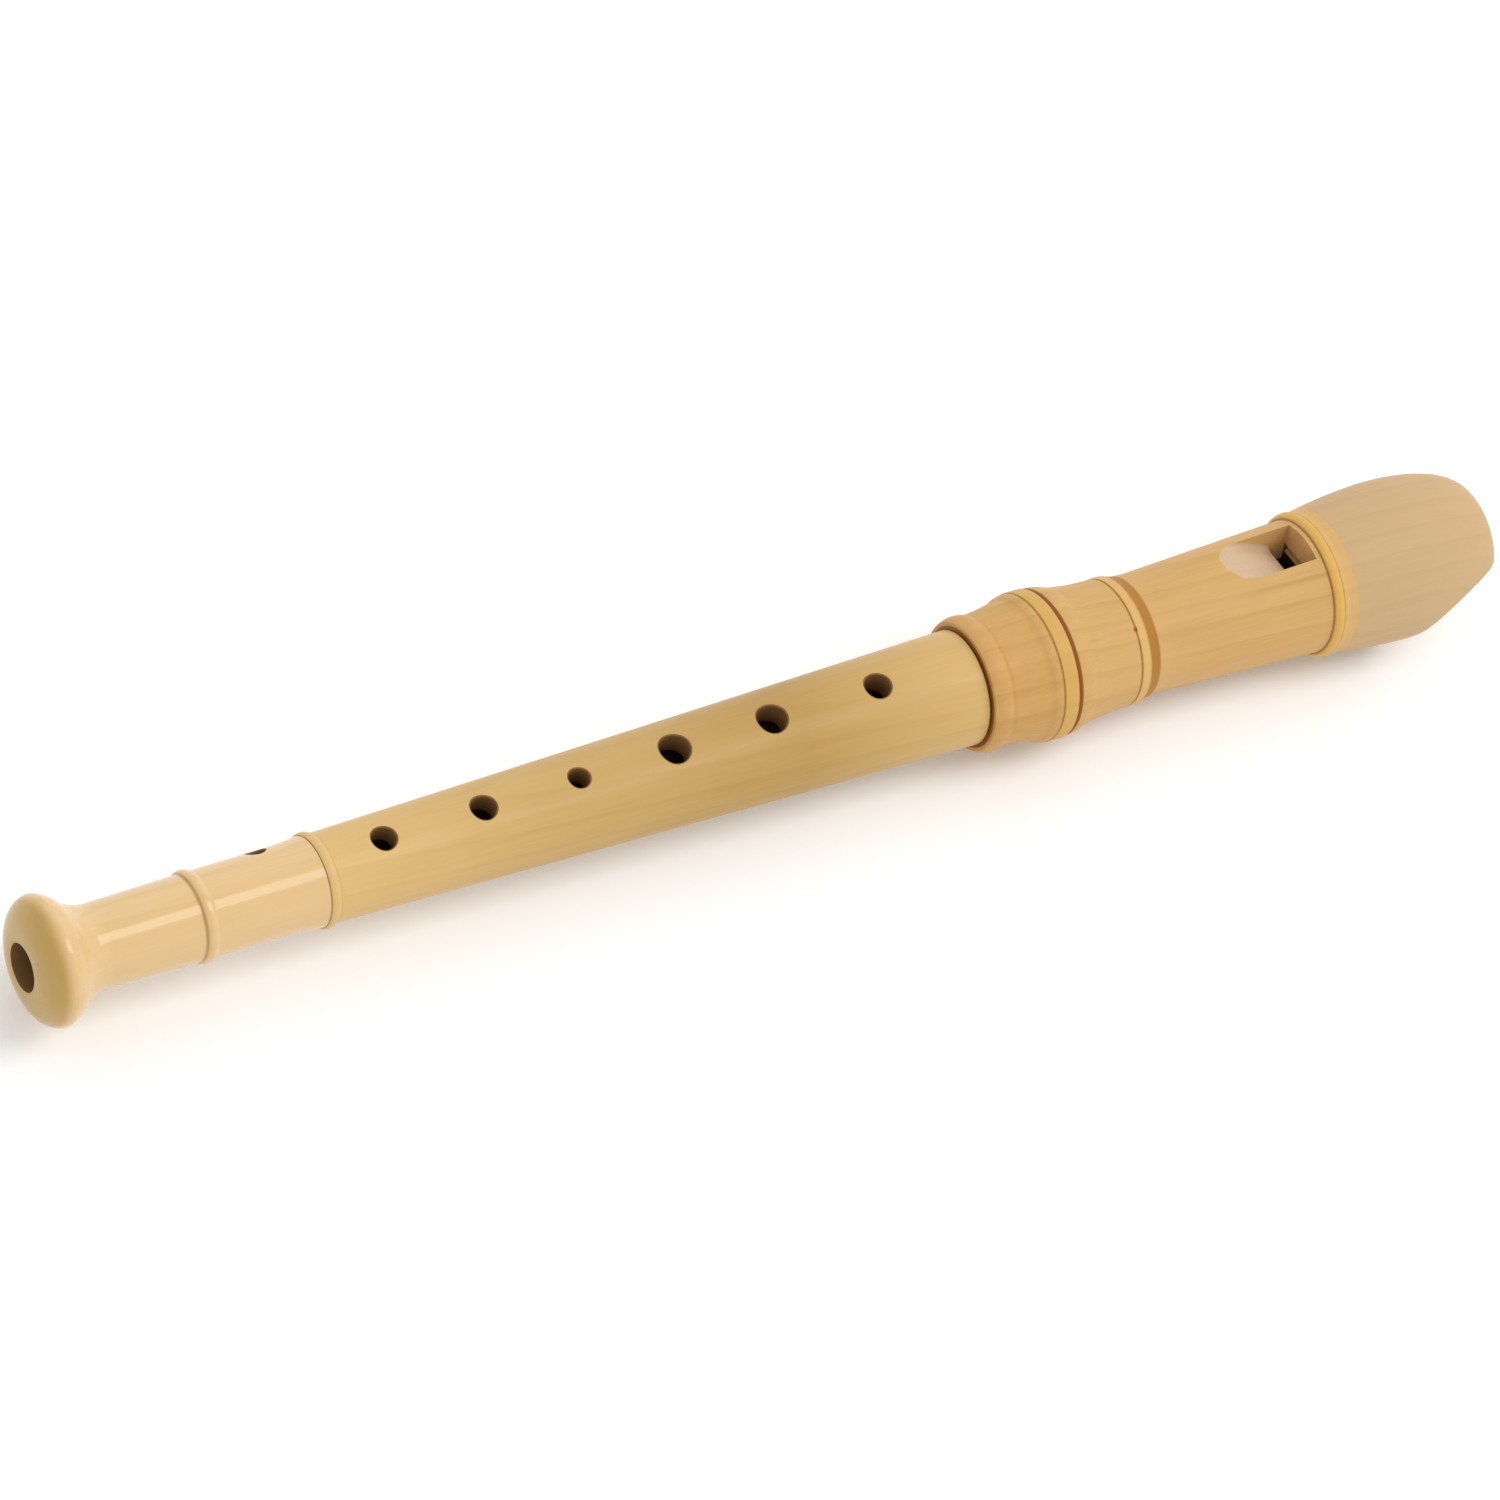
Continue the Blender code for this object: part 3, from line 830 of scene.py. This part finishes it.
def view_axes():
    """Directions in the frame that the view gives.

    The level run of the bore, then the picture's right, up and back, then the turned side that
    faces the view and the direction over it.
    """
    along = Vector((1, 0, 0))
    facing = Vector((0, -math.sin(VIEW_ROUND), math.cos(VIEW_ROUND)))
    over = Vector((0, math.cos(VIEW_ROUND), math.sin(VIEW_ROUND)))
    level = math.cos(VIEW_LEAN) * along + math.sin(VIEW_LEAN) * facing
    ahead = math.sin(VIEW_LEAN) * along - math.cos(VIEW_LEAN) * facing
    right = math.cos(VIEW_SLOPE) * level - math.sin(VIEW_SLOPE) * over
    up = math.sin(VIEW_SLOPE) * level + math.cos(VIEW_SLOPE) * over
    return level, right, up, -ahead, facing, over


def make_camera():
    level, right, up, back, _, _ = view_axes()
    foot_end = Vector((FOOT_END, 0, AXIS_HEIGHT))
    data = bpy.data.cameras.new("camera")
    data.lens = LENS_MM
    data.sensor_width = SENSOR_MM
    data.clip_end = VIEW_END
    camera = bpy.data.objects.new("camera", data)
    axes = Matrix((right, up, back)).transposed().to_4x4()
    stand = foot_end + level * FOOT_ASIDE + back * FOOT_AHEAD
    camera.matrix_world = Matrix.Translation(stand) @ axes
    bpy.context.scene.collection.objects.link(camera)
    bpy.context.scene.camera = camera


def make_light(name, direction, distance, size_x, size_y, radiance):
    """A soft box that faces the instrument from a direction, with its long side along the bore."""
    data = bpy.data.lights.new(name, "AREA")
    data.shape = "RECTANGLE"
    data.size = size_x
    data.size_y = size_y
    data.energy = radiance * math.pi * size_x * size_y
    light = bpy.data.objects.new(name, data)
    back = direction.normalized()
    side = Vector((1, 0, 0))
    side = (side - back * side.dot(back)).normalized()
    axes = Matrix((side, back.cross(side), back)).transposed().to_4x4()
    light.matrix_world = Matrix.Translation(back * distance) @ axes
    bpy.context.scene.collection.objects.link(light)


def reflected(round_angle):
    """Where a soft box stands so that the view sees it in the turned side, this far round."""
    _, _, _, _, facing, over = view_axes()
    fan = math.cos(round_angle) * facing + math.sin(round_angle) * over
    return math.sin(VIEW_LEAN) * Vector((1, 0, 0)) + math.cos(VIEW_LEAN) * fan


def make_floor():
    shape = bmesh.new()
    bmesh.ops.create_grid(shape, x_segments=1, y_segments=1, size=FLOOR_SIZE)
    floor_pattern = Pattern("pale_floor")
    mottle = floor_pattern.noise(3, 3, 2.0)
    shade = floor_pattern.mix(mottle, (0.93, 0.93, 0.93), (0.95, 0.95, 0.95))
    floor_pattern.put(floor_pattern.shader.inputs["Base Color"], shade)
    floor_pattern.put(floor_pattern.shader.inputs["Roughness"], 0.9)
    floor_pattern.put(floor_pattern.shader.inputs["Specular IOR Level"], 0.0)
    floor = make_object("floor", shape, floor_pattern.material)


def make_lighting():
    for name, degrees, distance, length, width, radiance in SOFT_BOXES:
        direction = reflected(math.radians(degrees))
        make_light(name, direction, distance, length, width, radiance)
    world = bpy.data.worlds.new("studio")
    world.use_nodes = True
    background = world.node_tree.nodes["Background"]
    background.inputs["Color"].default_value = (1, 1, 1, 1)
    background.inputs["Strength"].default_value = SKY_STRENGTH
    bpy.context.scene.world = world
    bpy.context.scene.view_settings.view_transform = "Standard"


# ---------------------------------------------------------------- the recorder


def main():
    head_wood = wood_material(
        "head_maple", (0.58, 0.353, 0.132), (0.44, 0.243, 0.071), (0.59, 0.36, 0.143),
        math.radians(70), 0.45, 0.06, 0.35, specular=0.12, figure=0.9,
        tones_and_sheen=((207 * MM, 1), (219 * MM, 0.8), (223 * MM, 0)), deep=(0.98, 0.93, 0.84),
        stains_and_shade=(
            # Painted shade: the dark gap where the middle joint enters the head's socket mouth
            StainAndShade(-1, SEAM_HEAD + 0.15 * MM, 0.1 * MM, 1.0, SHADE_AND_MARK_BROWN, 12.4 * MM),
            # Painted shade: the darker lines in the cove at 209.6 mm and in the rings' grooves at
            # 220.1, 223.6 and 239.3 mm; the bands at 220.5 and 239.9 mm are the rings' own tints
            StainAndShade(209.6 * MM, 210.4 * MM, 0.3 * MM, 0.3, SHADE_OCHRE),
            StainAndShade(220.1 * MM, 220.5 * MM, 0.12 * MM, 0.9, SHADE_OCHRE),
            StainAndShade(220.5 * MM, 223.5 * MM, 0.1 * MM, 0.7, (0.59, 0.35, 0.087)),
            StainAndShade(223.6 * MM, 224.6 * MM, 0.2 * MM, 1.2, SHADE_AND_MARK_BROWN),
            StainAndShade(239.3 * MM, 239.75 * MM, 0.12 * MM, 0.9, SHADE_OCHRE),
            StainAndShade(239.9 * MM, 241.3 * MM, 0.15 * MM, 0.6, (0.66, 0.42, 0.13)),
            # Painted shade: the slope behind the narrow ring, which turns away from the light
            StainAndShade(241.7 * MM, 244.2 * MM, 0.3 * MM, 1.1, SHADE_OCHRE),
            # Painted shade in the creases on both sides of the window bead; the bands at 284.5 and
            # 286.5 mm are the wood's own tints
            StainAndShade(284.1 * MM, 284.4 * MM, 0.12 * MM, 0.7, SHADE_AND_MARK_BROWN),
            StainAndShade(284.5 * MM, 286.0 * MM, 0.2 * MM, 0.8, (0.68, 0.41, 0.09)),
            StainAndShade(286.1 * MM, 286.4 * MM, 0.12 * MM, 0.5, SHADE_OCHRE),
            StainAndShade(286.5 * MM, 289.3 * MM, 0.3 * MM, 0.6, (0.62, 0.38, 0.15)),
        ),
        bare=(289.4 * MM, (0.485, 0.362, 0.231)),
        spots=((place(239.5 * MM, -4.9 * MM, 12.2 * MM), 0.7 * MM, 1.0),),
    )
    middle_wood = wood_material(
        "middle_maple", (0.64, 0.43, 0.166), (0.54, 0.33, 0.105), (0.66, 0.44, 0.185),
        math.radians(20), 0.45, 0.2, 0.3, figure=0.7,
        # Lighter at the foot end: painted sheen that fades up the joint, deepest near the finger
        # holes and lighter again by the socket
        tones_and_sheen=((61 * MM, 0), (115 * MM, 0.6), (165 * MM, 1), (203 * MM, 0.3)),
        deep=(0.69, 0.64, 0.47),
        # Painted shade in the crease at the upper end of the bead
        stains_and_shade=(StainAndShade(62.8 * MM, 63.2 * MM, 0.15 * MM, 0.25, SHADE_OCHRE),),
    )
    foot_wood = wood_material(
        "foot_maple", (0.67, 0.46, 0.205), (0.59, 0.37, 0.14), (0.68, 0.44, 0.205),
        math.radians(120), 0.4, 0.8, 0.1, figure=0.6,
        stains_and_shade=(
            # Painted shade and painted dark reflection: the bell's end face in darker olive brown
            StainAndShade(-1, 3.6 * MM, 1.3 * MM, 1.15, (0.46, 0.285, 0.065)),
            # Painted shade in the crease before the foot's bead
            StainAndShade(34.2 * MM, 34.8 * MM, 0.2 * MM, 0.7, SHADE_OCHRE),
        ),
        spots=((place(0.4 * MM, -3.5 * MM, 6.6 * MM), 0.6 * MM, 0.4),),
    )
    # Painted shade: the bore, the holes' walls and the windway in dark maple
    bore_shade_wood = wood_material(
        "bore_shade_maple", (0.24, 0.13, 0.045), (0.16, 0.08, 0.024), (0.21, 0.11, 0.04),
        math.radians(40), 0.6, 0.1, 0.4, specular=0.1,
    )
    raw_wood = wood_material(
        "raw_maple", (0.56, 0.40, 0.265), (0.47, 0.32, 0.19), (0.58, 0.41, 0.28),
        math.radians(70), 0.6, 0.0, 0.4, figure=0.6,
    )
    wall_wood = wood_material(
        "wall_maple", (0.60, 0.36, 0.145), (0.48, 0.27, 0.10), (0.58, 0.34, 0.14),
        math.radians(70), 0.6, 0.0, 0.4,
    )
    cedar = wood_material(
        "cedar", (0.50, 0.30, 0.11), (0.32, 0.16, 0.05), (0.44, 0.24, 0.08),
        math.radians(10), 0.65, 0.0, 0.4, specular=0.1,
        # Painted shade: the block's end face under the window, near black
        stains_and_shade=(StainAndShade(-1, WINDOW_END + 0.1 * MM, 0.1 * MM, 1.2, (0.035, 0.018, 0.006)),),
    )
    cork = cork_material()
    make_camera()
    low_tenon, high_tenon = tenons()
    pieces = (
        (
            make_head(head_wood, raw_wood, wall_wood, bore_shade_wood),
            "head_joint", "head", "head_maple",
        ),
        (make_middle(middle_wood, bore_shade_wood), "middle_joint", "middle", "middle_maple"),
        (make_foot(foot_wood, bore_shade_wood), "foot_joint", "foot", "foot_maple"),
        (make_block(cedar), "block", "block", "cedar"),
        (
            make_cork("upper_cork", "upper_tenon_cork", high_tenon, cork),
            "upper_tenon_cork", "middle", "cork",
        ),
        (
            make_cork("lower_cork", "lower_tenon_cork", low_tenon, cork),
            "lower_tenon_cork", "middle", "cork",
        ),
    )
    for piece, node, body, slot in pieces:
        smooth(piece)
        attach(piece, body)
        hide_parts(node)
    make_floor()
    make_lighting()


main()
